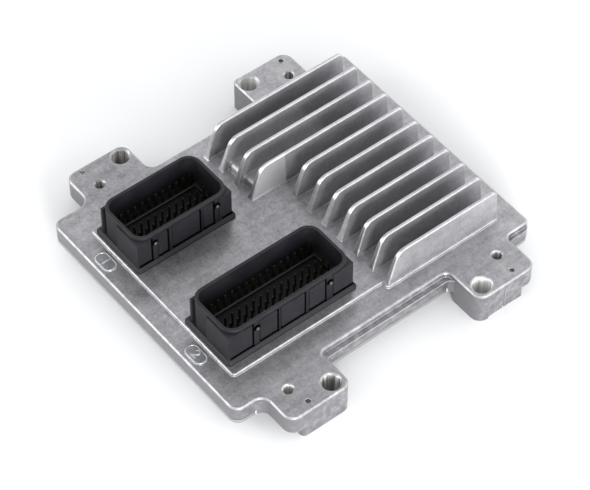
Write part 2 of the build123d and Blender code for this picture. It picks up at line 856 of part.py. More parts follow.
write("processor", Pos(processor_x, processor_line()) * package(processor_size, board_top))
write("flash_memory", Pos(memory_x, processor_line()) * package(memory_size, board_top))
write("driver_chips", place_all(package(driver_size, board_top), driver_places))
write("transceivers", place_all(package(transceiver_size, board_top), transceiver_places))
write("power_transistors", place_all(package(transistor_size, board_top), transistor_places()))
write("thermal_pads", thermal_pads())
write("crystal", Pos(crystal_x, processor_line()) * package(crystal_size, board_top))
write("shunt_resistors", place_all(package(shunt_size, board_top), shunt_places))
write("suppressor_diodes", place_all(package(suppressor_size, board_top), suppressor_places))
write("electrolytic_capacitors", place_all(capacitor(), capacitor_places))
write("power_inductor", Pos(*inductor_place) * package(inductor_size, board_bottom, down=True))
write("voltage_regulator", Pos(*regulator_place) * package(regulator_size, board_bottom, down=True))
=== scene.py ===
"""Engine control unit in soft studio light: a finned die-cast cover with two moulded pin headers."""

from __future__ import annotations

import logging
import math
from dataclasses import dataclass
from enum import Enum
from functools import reduce

import bpy
from mathutils import Matrix, Vector


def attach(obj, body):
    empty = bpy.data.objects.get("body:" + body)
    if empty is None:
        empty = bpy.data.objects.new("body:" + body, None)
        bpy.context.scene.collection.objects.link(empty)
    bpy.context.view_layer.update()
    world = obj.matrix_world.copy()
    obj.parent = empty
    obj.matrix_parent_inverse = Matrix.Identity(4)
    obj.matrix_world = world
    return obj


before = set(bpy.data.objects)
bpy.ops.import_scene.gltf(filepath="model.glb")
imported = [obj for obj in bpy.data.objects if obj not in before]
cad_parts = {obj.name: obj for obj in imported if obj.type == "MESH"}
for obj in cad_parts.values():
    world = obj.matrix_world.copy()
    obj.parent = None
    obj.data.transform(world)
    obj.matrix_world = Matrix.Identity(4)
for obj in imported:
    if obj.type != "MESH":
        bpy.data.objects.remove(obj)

LOG = logging.getLogger("control_unit")
MM = 0.001
MIDDLE = 0.5
EDGE_SAMPLES = 4
Triple = tuple[float, float, float]
Span = tuple[float, float]
Inputs = dict[int | str, object]


class Finish(Enum):
    """The finishes by name. New pieces take the material of the casting's name."""

    CASTING = "cast_aluminium"
    PLATE = "plate_aluminium"
    PLASTIC = "header_plastic"
    PINS = "pin_metal"
    STEEL = "screw_steel"
    SEALANT = "seal_rubber"
    PAD = "pad_silicone"
    BOARD = "board_laminate"
    EPOXY = "chip_epoxy"
    CAN = "drawn_can"
    GLAZE = "resistor_glaze"
    FLOOR = "floor_paper"


class Axis(Enum):
    """The coordinates of a point on a piece."""

    X = 0
    Y = 1
    Z = 2


class Value:
    """One shader value, so that sums, products and powers of sockets read as plain expressions."""

    def __init__(self, wiring: Wiring, socket: bpy.types.NodeSocket) -> None:
        """Keeps the wiring that adds nodes and the socket that this value stands for."""
        self.wiring = wiring
        self.socket = socket

    def _math(self, operation: str, first: Value | float, second: Value | float = 0.0) -> Value:
        """Adds one Math node.

        Args:
            operation: The Math node's operation.
            first: The first operand.
            second: The second operand, where the operation has one.

        Returns:
            The node's result.
        """
        return self.wiring.value("ShaderNodeMath", {"operation": operation}, {0: first, 1: second})

    def __add__(self, other: Value | float) -> Value:
        """The sum of both."""
        return self._math("ADD", self, other)

    __radd__ = __add__

    def __sub__(self, other: Value | float) -> Value:
        """This value less the other."""
        return self._math("SUBTRACT", self, other)

    def __rsub__(self, other: float) -> Value:
        """The other less this value."""
        return self._math("SUBTRACT", other, self)

    def __mul__(self, other: Value | float) -> Value:
        """The product of both."""
        return self._math("MULTIPLY", self, other)

    __rmul__ = __mul__

    def __pow__(self, other: float) -> Value:
        """This value to a power."""
        return self._math("POWER", self, other)

    def __abs__(self) -> Value:
        """How far this value is from zero."""
        return self._math("ABSOLUTE", self)

    def most(self, other: Value | float) -> Value:
        """The larger of both."""
        return self._math("MAXIMUM", self, other)

    def clamped(self) -> Value:
        """This value kept between 0 and 1."""
        return self.wiring.value("ShaderNodeClamp", {}, {0: self})

    def rise(self, width: float) -> Value:
        """0 up to zero, 1 from a width on, and a straight slope between."""
        return (self * (1.0 / width)).clamped()

    def swing(self, weight: float) -> Value:
        """How far a noise departs from its middle, times a weight."""
        return (self - MIDDLE) * weight


def largest(values: list[Value]) -> Value:
    """The largest of several values."""
    return reduce(Value.most, values)


def distance(first: Value, second: Value) -> Value:
    """The length of the line with these two sides."""
    return (first ** 2.0 + second ** 2.0) ** 0.5


class Wiring:
    """A node tree with short ways to add nodes."""

    def __init__(self, tree: bpy.types.NodeTree) -> None:
        """Keeps the tree that the nodes go into."""
        self.tree = tree

    def value(self, kind: str, settings: dict[str, object], inputs: Inputs, out: int | str = 0) -> Value:
        """Adds a node of any kind and wraps one of its results.

        Args:
            kind: The node's type.
            settings: Its own settings, set before its sockets; stops holds a ramp's places and levels.
            inputs: Values or constants for its sockets.
            out: The result that is wanted.

        Returns:
            The result as a value.
        """
        node = self.tree.nodes.new(kind)
        for key, setting in settings.items():
            if key == "stops":
                self._set_stops(node.color_ramp, setting)
            else:
                setattr(node, key, setting)
        for key, given in inputs.items():
            self.feed(node.inputs[key], given)
        return Value(self, node.outputs[out])

    def _set_stops(self, ramp: bpy.types.ColorRamp, stops: tuple[Span, ...]) -> None:
        """Gives a ramp its places and grey levels, which ease into one another.

        Args:
            ramp: The ramp.
            stops: Pairs of place and level.
        """
        ramp.interpolation = "EASE"
        while len(ramp.elements) < len(stops):
            ramp.elements.new(MIDDLE)
        for element, (place, level) in zip(ramp.elements, stops):
            element.position = place
            element.color = (level, level, level, 1.0)

    def feed(self, socket: bpy.types.NodeSocket, given: object) -> None:
        """Links or sets one socket.

        Args:
            socket: The socket to fill.
            given: A value or a constant.
        """
        if isinstance(given, Value):
            self.tree.links.new(given.socket, socket)
        elif isinstance(given, tuple) and socket.type == "RGBA":
            socket.default_value = (*given, 1.0)
        else:
            socket.default_value = given

    def dot(self, first: Value, second: Value | Triple) -> Value:
        """The dot product of two vectors."""
        settings = {"operation": "DOT_PRODUCT"}
        return self.value("ShaderNodeVectorMath", settings, {0: first, 1: second}, "Value")


@dataclass(frozen=True)
class Noise:
    """A grey noise and how strongly it sways a finish.

    Attributes:
        scale: Its features for each metre.
        detail: How many finer layers it has.
        rough: How strong the finer layers are.
        stretch: How densely it repeats along each axis.
        tone: How much it sways the colour.
        gloss: How much it sways the roughness.
        relief: Its share in the relief.
    """

    scale: float
    detail: float
    rough: float
    stretch: Triple = (1.0, 1.0, 1.0)
    tone: float = 0.0
    gloss: float = 0.0
    relief: float = 0.0


@dataclass(frozen=True)
class Edge:
    """A band along the edges: its reach in millimetres, how quickly it grows, and how much of it shows."""

    reach: float
    gain: float
    strength: float


@dataclass(frozen=True)
class Relief:
    """A relief's depth in millimetres, its strength, and the edges' apparent radius in millimetres."""

    depth: float
    strength: float
    edge_radius: float = 0.0


class Bench(Wiring):
    """A material's node tree with short ways to add what the finishes need."""

    def __init__(self, name: Finish) -> None:
        """Starts a material with one principled shader.

        Args:
            name: The finish that the material is for.
        """
        self.material = bpy.data.materials.new(name.value)
        self.material.use_nodes = True
        super().__init__(self.material.node_tree)
        self.shader = self.tree.nodes["Principled BSDF"]
        self.point = self.value("ShaderNodeTexCoord", {}, {}, "Object")
        self.axes: dict[Axis, Value] = {}

    def axis(self, axis: Axis) -> Value:
        """One coordinate of the point on the piece, in metres."""
        if axis not in self.axes:
            self.axes[axis] = self.value("ShaderNodeSeparateXYZ", {}, {0: self.point}, axis.value)
        return self.axes[axis]

    def noise(self, noise: Noise) -> Value:
        """Lays a noise over the piece.

        Args:
            noise: Its scale, layers and stretch.

        Returns:
            A value from 0 to 1.
        """
        place = self.value("ShaderNodeMapping", {}, {"Vector": self.point, "Scale": noise.stretch})
        inputs = {"Vector": place, "Scale": noise.scale, "Detail": noise.detail, "Roughness": noise.rough}
        return self.value("ShaderNodeTexNoise", {}, inputs, "Fac")

    def near(self, spots: tuple[Triple, ...], soft: float) -> Value:
        """How far a point lies inside upright round columns.

        Args:
            spots: The X, Y and radius of each column in millimetres.
            soft: The width in millimetres over which it grows from 0 to 1.

        Returns:
            1 inside a column and 0 away from them all.
        """
        x, y = self.axis(Axis.X), self.axis(Axis.Y)
        away = [(distance(x - place_x * MM, y - place_y * MM), radius) for place_x, place_y, radius in spots]
        return largest([(radius + soft) * MM - length for length, radius in away]).rise(soft * MM)

    def band(self, axis: Axis, low: float, high: float, soft: float = 0.12) -> Value:
        """How far a point lies between two places along an axis.

        Args:
            axis: The axis.
            low: The lower place in millimetres.
            high: The upper place in millimetres.
            soft: The width in millimetres over which it fades outside them.

        Returns:
            1 between the places and 0 away from them.
        """
        middle, half = (low + high) / 2.0, (high - low) / 2.0
        return ((half + soft) * MM - abs(self.axis(axis) - middle * MM)).rise(soft * MM)

    def mix(self, fac: Value | float, first: object, second: object) -> Value:
        """A colour between two others."""
        settings = {"data_type": "RGBA"}
        return self.value("ShaderNodeMix", settings, {0: fac, 6: first, 7: second}, 2)

    def normal(self) -> Value:
        """The direction that the surface faces."""
        return self.value("ShaderNodeNewGeometry", {}, {}, "Normal")

    def bevel(self, radius: float) -> Value:
        """The direction that the surface would face if its edges had a radius in millimetres."""
        return self.value("ShaderNodeBevel", {"samples": EDGE_SAMPLES}, {"Radius": radius * MM}, "Normal")

    def edge(self, edge: Edge) -> Value:
        """How close a point lies to an edge of the piece.

        Args:
            edge: How far the edge reaches and how quickly it grows.

        Returns:
            A value from 0 on flat ground to 1 on the edge.
        """
        return ((1.0 - self.dot(self.bevel(edge.reach), self.normal())) * edge.gain).clamped()

    def bump(self, height: Value, relief: Relief) -> Value:
        """A surface relief, over edges that look slightly rounded where it gives them a radius.

        Args:
            height: The relief from 0 to 1.
            relief: How deep and how strong it is.

        Returns:
            The normal.
        """
        inputs = {"Height": height, "Distance": relief.depth * MM, "Strength": relief.strength}
        if relief.edge_radius:
            inputs["Normal"] = self.bevel(relief.edge_radius)
        return self.value("ShaderNodeBump", {}, inputs, "Normal")

    def finish(self, **sockets: object) -> bpy.types.Material:
        """Fills the shader's sockets by name, with underscores for spaces.

        Args:
            **sockets: Values or constants.

        Returns:
            The material.
        """
        for key, given in sockets.items():
            self.feed(self.shader.inputs[key.replace("_", " ").title().replace("Ior", "IOR")], given)
        return self.material


@dataclass(frozen=True)
class CastAluminium:
    """Shot-blasted die casting: soft clouds, short flow streaks, a fine grain, bored holes, and edges paler
    from rubbing and from painted highlights. Painted reflection streaks the bores, and the back bores are
    lighter; painted shade darkens the flange's sides, most where they face the front; painted light lifts the
    fins, a patch of the fourth fin and the metal towards the back; a darker band runs along every edge.

    Places and sizes are in millimetres; a hole is its X, Y and radius.
    """

    name: Finish = Finish.CASTING
    light: Triple = (0.48, 0.475, 0.495)
    dark: Triple = (0.215, 0.213, 0.225)
    # pale metal: the rubbing along the edges, painted highlights and painted light
    rubbed_and_highlight: Triple = (0.94, 0.94, 0.95)
    bored: Triple = (0.92, 0.90, 0.83)
    cloud: Noise = Noise(38.0, 4.0, 0.6, tone=0.7, gloss=0.16)
    smudge: Noise = Noise(260.0, 3.0, 0.6, tone=1.0, relief=0.5)
    streak: Noise = Noise(420.0, 2.0, 0.5, (1.0, 0.16, 0.5), tone=0.6)
    fleck: Noise = Noise(750.0, 2.0, 0.6, tone=0.9, relief=0.3)
    grain: Noise = Noise(2600.0, 2.0, 0.7, tone=0.5, gloss=0.18, relief=0.2)
    # painted reflection: light and dark streaks down the bore walls
    bore_reflection_streaks: Noise = Noise(620.0, 2.0, 0.6, (1.0, 1.0, 0.05), tone=4.0)
    relief: Relief = Relief(0.12, 0.6, 0.35)
    # edges paler from rubbing and from painted highlights
    paler_edges: Edge = Edge(0.6, 2.6, 0.85)
    # a darker band along every edge
    edge_darkening: Edge = Edge(1.8, 1.6, 0.2)
    roughness: float = 0.34
    wear_gloss: float = 0.12
    metallic: float = 0.76
    edge_dulling: float = 0.3
    bore_dulling: float = 0.45
    back_bore_dulling: float = 0.3
    # painted light: the metal lightens towards the back
    back_painted_light: float = 1.4
    # painted shade on the flange's sides below its top, mottled by the smudges
    flange_top: float = 16.9
    flange_edge: float = 0.4
    side_shade_level: float = 0.6
    side_shade_mottle: float = 3.0
    # painted shade, deepest on the sides that face the front
    forward: Triple = (0.0, -1.0, 0.0)
    front_shade: float = 0.85
    # painted light: the fins grow lighter above their floor
    fin_floor: float = 20.0
    fin_fade: float = 5.0
    fin_light: float = 0.18
    # painted light: a lit patch on the fourth fin's side, given as X, Y and Z spans
    patch: tuple[Span, Span, Span] = ((-22.5, -20.6), (-20.0, 12.8), (19.2, 40.0))
    lit_patch_soft: Triple = (0.12, 0.8, 0.3)
    lit_patch_strength: float = 0.62
    mark: tuple[Triple, ...] = ((0.86, -0.22, 0.7),)
    mark_soft: float = 0.4
    mark_strength: float = 0.5
    front_bores: tuple[Triple, ...] = ((-83.7, -38.05, 4.4), (83.1, -43.95, 4.4))
    back_bores: tuple[Triple, ...] = ((-83.3, 39.25, 4.65), (83.0, 44.95, 4.65))
    dowel_holes: tuple[Triple, ...] = (
        (-75.5, -56.05, 2.45), (-75.4, 57.85, 2.45), (74.3, -61.35, 2.45), (73.9, 62.05, 2.45),
    )
    hole_soft: float = 0.25
    back_bore_lightening: float = 0.45

    def _shaded(self, bench: Bench, colour: Value, smudge: Value) -> Value:
        """Paints shade on the flange's sides, most on those that face the front, and paints light on the fins'
        upper parts and on one patch of the fourth.

        Args:
            bench: The material's bench.
            colour: The metal's colour.
            smudge: The smudges over it.

        Returns:
            The colour with both.
        """
        height = bench.axis(Axis.Z)
        below = (self.flange_top * MM - height).rise(self.flange_edge * MM)
        above = (height - self.fin_floor * MM).rise(self.fin_fade * MM)
        front = bench.dot(bench.normal(), self.forward).clamped()
        # painted shade on the flange's sides, most on those that face the front
        side_shade = (smudge.swing(-self.side_shade_mottle) + self.side_shade_level).clamped()
        colour = bench.mix(below * side_shade, colour, self.dark)
        colour = bench.mix(below * front * self.front_shade, colour, self.dark)
        # painted light on the fins' upper parts
        colour = bench.mix(above * self.fin_light, colour, self.rubbed_and_highlight)
        # painted light on that patch of the fourth fin
        spans = zip(Axis, self.patch, self.lit_patch_soft)
        across, along, up = (bench.band(axis, *span, soft) for axis, span, soft in spans)
        return bench.mix(across * along * up * self.lit_patch_strength, colour, self.rubbed_and_highlight)

    def build(self) -> bpy.types.Material:
        """Builds the material."""
        bench = Bench(self.name)
        cloud, smudge = bench.noise(self.cloud), bench.noise(self.smudge)
        streak, fleck, grain = bench.noise(self.streak), bench.noise(self.fleck), bench.noise(self.grain)
        tone = cloud.swing(self.cloud.tone) + smudge.swing(self.smudge.tone) + streak.swing(self.streak.tone)
        tone = tone + fleck.swing(self.fleck.tone) + grain.swing(self.grain.tone) + MIDDLE
        # painted light, growing towards the back
        tone = tone + bench.axis(Axis.Y) * self.back_painted_light
        paler_edges, edge_darkening = bench.edge(self.paler_edges), bench.edge(self.edge_darkening)
        colour = self._shaded(bench, bench.mix(tone.clamped(), self.dark, self.light), smudge)
        # darkens a band along every edge
        colour = bench.mix(edge_darkening * self.edge_darkening.strength, colour, self.dark)
        # paler edges: rubbing with painted highlights over it
        colour = bench.mix(paler_edges * self.paler_edges.strength, colour, self.rubbed_and_highlight)
        colour = bench.mix(bench.near(self.mark, self.mark_soft) * self.mark_strength, colour, self.dark)
        bore = bench.near(self.front_bores + self.back_bores + self.dowel_holes, self.hole_soft)
        # the back bores are lighter and less metallic than the rest
        back_bore_area = bench.near(self.back_bores, self.hole_soft)
        # painted reflection streaks the bore walls between dark and bored metal
        streaked = (bench.noise(self.bore_reflection_streaks).swing(self.bore_reflection_streaks.tone) + MIDDLE).clamped()
        colour = bench.mix(bore, colour, bench.mix(streaked, self.dark, self.bored))
        colour = bench.mix(back_bore_area * self.back_bore_lightening, colour, self.rubbed_and_highlight)
        dulled = bore * self.bore_dulling + paler_edges * self.edge_dulling + back_bore_area * self.back_bore_dulling
        rough = cloud.swing(self.cloud.gloss) + grain.swing(self.grain.gloss) + self.roughness
        relief = grain * self.grain.relief + fleck * self.fleck.relief + smudge * self.smudge.relief
        return bench.finish(
            base_color=colour, metallic=(self.metallic - dulled).clamped(),
            roughness=rough - paler_edges * self.wear_gloss, normal=bench.bump(relief, self.relief),
        )


@dataclass(frozen=True)
class SheetAluminium:
    """Pressed sheet with a drawn grain along one axis."""

    name: Finish = Finish.PLATE
    light: Triple = (0.56, 0.565, 0.57)
    dark: Triple = (0.42, 0.425, 0.43)
    drawn: Noise = Noise(3600.0, 2.0, 0.6, (1.0, 0.02, 1.0), tone=0.8, gloss=0.14)
    cloud: Noise = Noise(30.0, 4.0, 0.6, tone=0.9, gloss=0.1)
    relief: Relief = Relief(0.02, 0.4, 0.3)
    paler_edges: Edge = Edge(0.5, 2.0, 0.6)
    roughness: float = 0.36

    def build(self) -> bpy.types.Material:
        """Builds the material."""
        bench = Bench(self.name)
        drawn, cloud = bench.noise(self.drawn), bench.noise(self.cloud)
        tone = (drawn.swing(self.drawn.tone) + cloud.swing(self.cloud.tone) + MIDDLE).clamped()
        paler_edges = bench.edge(self.paler_edges) * self.paler_edges.strength
        return bench.finish(
            base_color=bench.mix(paler_edges, bench.mix(tone, self.dark, self.light), self.light), metallic=1.0,
            roughness=drawn.swing(self.drawn.gloss) + cloud.swing(self.cloud.gloss) + self.roughness,
            normal=bench.bump(drawn, self.relief),
        )


@dataclass(frozen=True)
class HeaderSide:
    """What one header's near side and inside show: painted shade in the gaps and painted highlights on the
    crests and peg ends.

    All in millimetres. Panels and pegs are counted from the header's front, face and tip from its near
    face, foot from its floor, crest from the ridge's top, and lip and lip_height from the ledge's edge and top.
    """

    near_x: float
    ridge_x: float
    length: float
    panels: tuple[Span, ...]
    pegs: Span
    front: float = -73.45
    floor: float = 21.2
    panel_top: float = 36.5
    peg_height: float = 32.6
    ridge_top: float = 23.0
    ledge_top: float = 23.8
    ridge_width: float = 0.9
    ledge_depth: float = 2.3
    wall: float = 1.7
    face: Span = (-0.4, 0.6)
    gap_width: float = 1.3
    foot: Span = (0.1, 1.7)
    ring_radius: float = 2.1
    ring_soft: float = 0.5
    tip: Span = (0.7, 1.3)
    tip_radius: float = 1.0
    crest: Span = (-0.1, 0.1)
    lip: Span = (-0.1, 0.4)
    lip_height: Span = (-0.3, 0.1)
    crest_highlight_strength: float = 0.45

    def _slice(self, bench: Bench, axis: Axis, base: float, span: Span) -> Value:
        """A band along an axis whose two places are counted from a base.

        Args:
            bench: The material's bench.
            axis: The axis.
            base: The place to count from.
            span: The two places.

        Returns:
            1 between the places and 0 away from them.
        """
        return bench.band(axis, base + span[0], base + span[1])

    def gaps(self, bench: Bench) -> Value:
        """Where shade is painted: beside and below each panel and round each peg.

        Args:
            bench: The material's bench.

        Returns:
            1 in the gaps and 0 elsewhere.
        """
        y, z = bench.axis(Axis.Y), bench.axis(Axis.Z)
        ends = [self.front + end for start, end in self.panels]
        beside = largest([bench.band(Axis.Y, end, end + self.gap_width) for end in ends])
        below = largest([self._slice(bench, Axis.Y, self.front, panel) for panel in self.panels])
        places = [(self.front + peg) * MM for peg in self.pegs]
        away = [distance(y - place, z - self.peg_height * MM) for place in places]
        rings = largest([(self.ring_radius * MM - length).rise(self.ring_soft * MM) for length in away])
        sides = beside * bench.band(Axis.Z, self.floor, self.panel_top)
        feet = below * self._slice(bench, Axis.Z, self.floor, self.foot)
        return self._slice(bench, Axis.X, self.near_x, self.face) * largest([sides, feet, rings])

    def painted_highlights(self, bench: Bench) -> Value:
        """Where highlights are painted: the pegs' ends and the crests of ridge and ledge.

        Args:
            bench: The material's bench.

        Returns:
            1 on the painted highlights and 0 elsewhere.
        """
        tips = self._slice(bench, Axis.X, self.near_x, self.tip)
        tips = tips * bench.band(Axis.Z, self.peg_height - self.tip_radius, self.peg_height + self.tip_radius)
        ridge = bench.band(Axis.X, self.ridge_x, self.ridge_x + self.ridge_width)
        ridge = ridge * self._slice(bench, Axis.Z, self.ridge_top, self.crest)
        lip_y = self.front + self.length - self.wall - self.ledge_depth
        ledge = self._slice(bench, Axis.Y, lip_y, self.lip)
        ledge = ledge * self._slice(bench, Axis.Z, self.ledge_top, self.lip_height)
        return tips.most(ridge.most(ledge) * self.crest_highlight_strength)


@dataclass(frozen=True)
class MouldedPlastic:
    """Black glass-filled nylon: a fine spark-eroded texture, edges paler from painted highlights, painted shade
    in the gaps and painted highlights on the crests and peg ends.

    The painted shade in the gaps goes to a metallic black, because a dielectric would still throw back the
    light of the sky.
    """

    name: Finish = Finish.PLASTIC
    body: Triple = (0.006, 0.006, 0.008)
    bloom: Triple = (0.018, 0.018, 0.022)
    # painted shade in the gaps
    shade_black: Triple = (0.0015, 0.0015, 0.002)
    # painted highlights on the crests and peg ends
    pale: Triple = (0.09, 0.085, 0.072)
    cloud: Noise = Noise(120.0, 4.0, 0.6, tone=1.2, gloss=0.2)
    fibre: Noise = Noise(1500.0, 2.0, 0.6, (1.0, 0.3, 1.0), tone=0.8)
    grain: Noise = Noise(4200.0, 2.0, 0.6, gloss=0.12)
    relief: Relief = Relief(0.03, 0.5, 0.3)
    # paler edges: painted highlights along the moulding's edges
    paler_edges: Edge = Edge(0.4, 2.0, 0.6)
    bloom_level: float = 0.36
    shine: float = 0.28
    roughness: float = 0.5
    wear_gloss: float = 0.08
    gap_roughness: float = 0.4
    sides: tuple[HeaderSide, HeaderSide] = (
        HeaderSide(
            near_x=-20.0, ridge_x=-43.7, length=53.1, pegs=(9.1, 44.7),
            panels=((0.0, 6.8), (11.1, 16.1), (19.2, 34.5), (37.1, 42.3), (47.1, 53.1)),
        ),
        HeaderSide(
            near_x=47.9, ridge_x=24.2, length=70.2, pegs=(15.3, 57.1),
            panels=((0.0, 12.4), (16.9, 26.5), (28.9, 42.1), (45.0, 53.9), (59.0, 70.2)),
        ),
    )

    def build(self) -> bpy.types.Material:
        """Builds the material."""
        bench = Bench(self.name)
        cloud, fibre, grain = bench.noise(self.cloud), bench.noise(self.fibre), bench.noise(self.grain)
        paler_edges = bench.edge(self.paler_edges)
        tone = (cloud.swing(self.cloud.tone) + fibre.swing(self.fibre.tone) + self.bloom_level).clamped()
        # painted highlights lighten the edges
        colour = bench.mix((tone + paler_edges * self.paler_edges.strength).clamped(), self.body, self.bloom)
        # painted shade in the gaps
        gaps = largest([side.gaps(bench) for side in self.sides])
        # painted highlights on the crests and peg ends
        painted_highlights = largest([side.painted_highlights(bench) for side in self.sides])
        colour = bench.mix(painted_highlights, bench.mix(gaps, colour, self.shade_black), self.pale)
        rough = cloud.swing(self.cloud.gloss) + grain.swing(self.grain.gloss) + self.roughness
        return bench.finish(
            base_color=colour, metallic=gaps, specular_ior_level=self.shine,
            roughness=rough - paler_edges * self.wear_gloss + gaps * self.gap_roughness,
            normal=bench.bump(grain, self.relief),
        )


@dataclass(frozen=True)
class TinnedBrass:
    """Stamped pins with a thin tin coat, through which the brass shows in patches."""

    name: Finish = Finish.PINS
    tin: Triple = (0.11, 0.105, 0.085)
    brass: Triple = (0.13, 0.105, 0.045)
    patch: Noise = Noise(700.0, 2.0, 0.5, tone=1.6, gloss=0.2)
    drawn: Noise = Noise(5200.0, 1.0, 0.5, (1.0, 1.0, 0.05), tone=0.6)
    relief: Relief = Relief(0.01, 0.4, 0.1)
    roughness: float = 0.42

    def build(self) -> bpy.types.Material:
        """Builds the material."""
        bench = Bench(self.name)
        patch, drawn = bench.noise(self.patch), bench.noise(self.drawn)
        tone = (patch.swing(self.patch.tone) + drawn.swing(self.drawn.tone) + MIDDLE).clamped()
        return bench.finish(
            base_color=bench.mix(tone, self.tin, self.brass), metallic=1.0,
            roughness=patch.swing(self.patch.gloss) + self.roughness, normal=bench.bump(drawn, self.relief),
        )


@dataclass(frozen=True)
class PlatedSteel:
    """Zinc-plated steel with turning marks."""

    name: Finish = Finish.STEEL
    light: Triple = (0.56, 0.57, 0.58)
    dark: Triple = (0.38, 0.39, 0.40)
    patch: Noise = Noise(500.0, 3.0, 0.6, tone=1.2, gloss=0.2)
    turned: Noise = Noise(2400.0, 1.0, 0.5, (1.0, 1.0, 6.0), tone=0.5)
    relief: Relief = Relief(0.01, 0.4, 0.15)
    paler_edges: Edge = Edge(0.2, 2.0, 0.4)
    roughness: float = 0.34

    def build(self) -> bpy.types.Material:
        """Builds the material."""
        bench = Bench(self.name)
        patch, turned = bench.noise(self.patch), bench.noise(self.turned)
        tone = patch.swing(self.patch.tone) + turned.swing(self.turned.tone) + MIDDLE
        tone = (tone + bench.edge(self.paler_edges) * self.paler_edges.strength).clamped()
        return bench.finish(
            base_color=bench.mix(tone, self.dark, self.light), metallic=1.0,
            roughness=patch.swing(self.patch.gloss) + self.roughness, normal=bench.bump(turned, self.relief),
        )


@dataclass(frozen=True)
class SoftCompound:
    """Cured sealant or filled silicone: matt, slightly uneven, with a dusty bloom."""

    name: Finish
    body: Triple
    bloom: Triple
    roughness: float = 0.72
    bloom_level: float = 0.144
    dust: Noise = Noise(260.0, 4.0, 0.65, tone=1.8)
    grain: Noise = Noise(2200.0, 2.0, 0.6, gloss=0.2)
    relief: Relief = Relief(0.05, 0.5)

    def build(self) -> bpy.types.Material:
        """Builds the material."""
        bench = Bench(self.name)
        grain = bench.noise(self.grain)
        tone = (bench.noise(self.dust).swing(self.dust.tone) + self.bloom_level).clamped()
        return bench.finish(
            base_color=bench.mix(tone, self.body, self.bloom), metallic=0.0,
            roughness=grain.swing(self.grain.gloss) + self.roughness, normal=bench.bump(grain, self.relief),
        )


@dataclass(frozen=True)
class BoardLaminate:
    """Green solder mask over copper tracks on glass cloth. The tracks' pitch is in millimetres."""

    name: Finish = Finish.BOARD
    mask: Triple = (0.012, 0.085, 0.035)
    track: Triple = (0.03, 0.17, 0.07)
    weave: Noise = Noise(1800.0, 1.0, 0.5, gloss=0.14, relief=0.4)
    relief: Relief = Relief(0.03, 0.4)
    track_pitch: float = 2.4
    track_contrast: float = 6.0
    track_relief: float = 0.6
    roughness: float = 0.32

    def build(self) -> bpy.types.Material:
        """Builds the material."""
        bench = Bench(self.name)
        cell = bench.value(
            "ShaderNodeTexVoronoi", {"distance": "MANHATTAN", "feature": "F1"},
            {"Vector": bench.point, "Scale": 1.0 / (self.track_pitch * MM)}, "Distance",
        )
        weave = bench.noise(self.weave)
        track = cell.swing(self.track_contrast).clamped()
        relief = track * self.track_relief + weave * self.weave.relief
        return bench.finish(
            base_color=bench.mix(track, self.mask, self.track), metallic=0.0,
            roughness=weave.swing(self.weave.gloss) + self.roughness, normal=bench.bump(relief, self.relief),
        )


@dataclass(frozen=True)
class MouldedPart:
    """A small moulded, drawn or glazed part on the board, with a fine grain and paler edges."""

    name: Finish
    body: Triple
    pale: Triple
    metallic: float
    roughness: float
    pale_level: float = 0.12
    cloud: Noise = Noise(400.0, 3.0, 0.6, tone=1.2)
    grain: Noise = Noise(5200.0, 2.0, 0.6, gloss=0.15)
    relief: Relief = Relief(0.015, 0.5, 0.1)
    paler_edges: Edge = Edge(0.2, 2.0, 0.5)

    def build(self) -> bpy.types.Material:
        """Builds the material."""
        bench = Bench(self.name)
        grain = bench.noise(self.grain)
        tone = bench.noise(self.cloud).swing(self.cloud.tone) + self.pale_level
        tone = (tone + bench.edge(self.paler_edges) * self.paler_edges.strength).clamped()
        return bench.finish(
            base_color=bench.mix(tone, self.body, self.pale), metallic=self.metallic,
            roughness=grain.swing(self.grain.gloss) + self.roughness, normal=bench.bump(grain, self.relief),
        )


class Dresser:
    """Gives every carried-over node its finish."""

    surfaces = (
        CastAluminium(), SheetAluminium(), MouldedPlastic(), TinnedBrass(), PlatedSteel(), BoardLaminate(),
        SoftCompound(Finish.SEALANT, body=(0.012, 0.012, 0.012), bloom=(0.04, 0.04, 0.042)),
        SoftCompound(Finish.PAD, body=(0.25, 0.27, 0.36), bloom=(0.36, 0.38, 0.46), roughness=0.65),
        MouldedPart(Finish.EPOXY, (0.012, 0.012, 0.013), (0.035, 0.035, 0.038), metallic=0.0, roughness=0.5),
        MouldedPart(Finish.CAN, (0.52, 0.52, 0.53), (0.68, 0.68, 0.69), metallic=1.0, roughness=0.3),
        MouldedPart(Finish.GLAZE, (0.03, 0.03, 0.035), (0.09, 0.09, 0.1), metallic=0.0, roughness=0.25),
    )
    choices = {
        "cover": Finish.CASTING, "base_plate": Finish.PLATE,
        "cover_seal": Finish.SEALANT, "header_one_seal": Finish.SEALANT, "header_two_seal": Finish.SEALANT,
        "header_one_shell": Finish.PLASTIC, "header_two_shell": Finish.PLASTIC,
        "header_one_pins": Finish.PINS, "header_two_pins": Finish.PINS,
        "header_one_power_pins": Finish.PINS, "header_two_power_pins": Finish.PINS,
        "board_screws": Finish.STEEL, "base_screws": Finish.STEEL,
        "circuit_board": Finish.BOARD, "thermal_pads": Finish.PAD, "shunt_resistors": Finish.GLAZE,
        "crystal": Finish.CAN, "electrolytic_capacitors": Finish.CAN,
    }

    def dress(self) -> None:
        """Builds each finish once and assigns it to the nodes that have it; the rest are moulded chips."""
        materials = {surface.name: surface.build() for surface in self.surfaces}
        for name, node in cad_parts.items():
            finish = materials[self.choices.get(name, Finish.EPOXY)]
            for slot in node.material_slots:
                slot.material = finish
            LOG.info("dressed %s in %s", name, finish.name)


